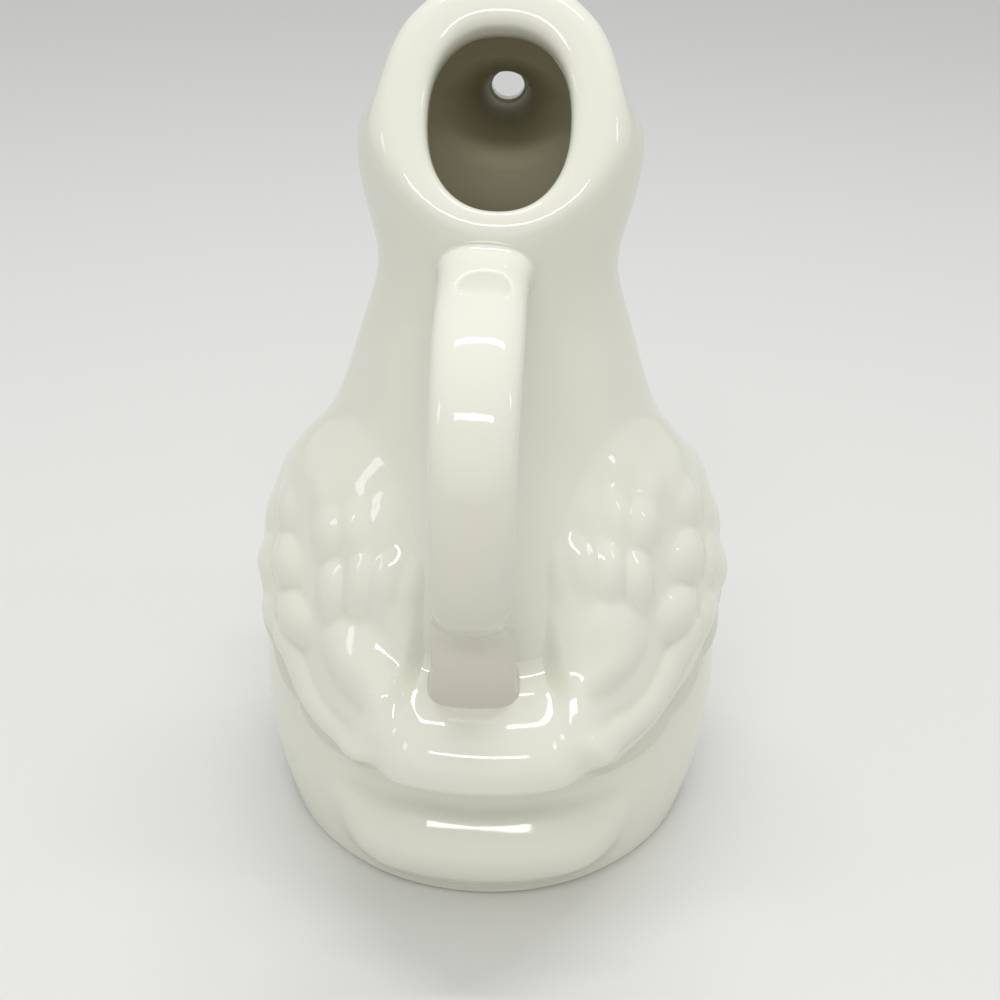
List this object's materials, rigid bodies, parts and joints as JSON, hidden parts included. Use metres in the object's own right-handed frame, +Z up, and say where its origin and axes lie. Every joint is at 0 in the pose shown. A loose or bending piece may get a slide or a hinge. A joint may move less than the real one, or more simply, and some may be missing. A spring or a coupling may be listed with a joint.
{
  "type": "duck creamer",
  "caption": "White glazed cream jug in the form of a sitting duck: fill opening in the back of the head, pour hole at the bill tip, strap handle from nape to tail.",
  "frame": {"origin": "on the table, in the middle of the outline between the back of the handle and the tip of the bill", "axes": "+Z up, +Y along the bill, +X to the duck's right"},
  "size_m": [0.086, 0.1068, 0.1455],
  "materials": {
    "white_glaze": "gloss"
  },
  "bodies": {
    "root": {"body_shell": "white_glaze", "bill_spout": "white_glaze", "handle": "white_glaze", "tail": "white_glaze", "wing_left": "white_glaze", "wing_right": "white_glaze"}
  },
  "joints": []
}
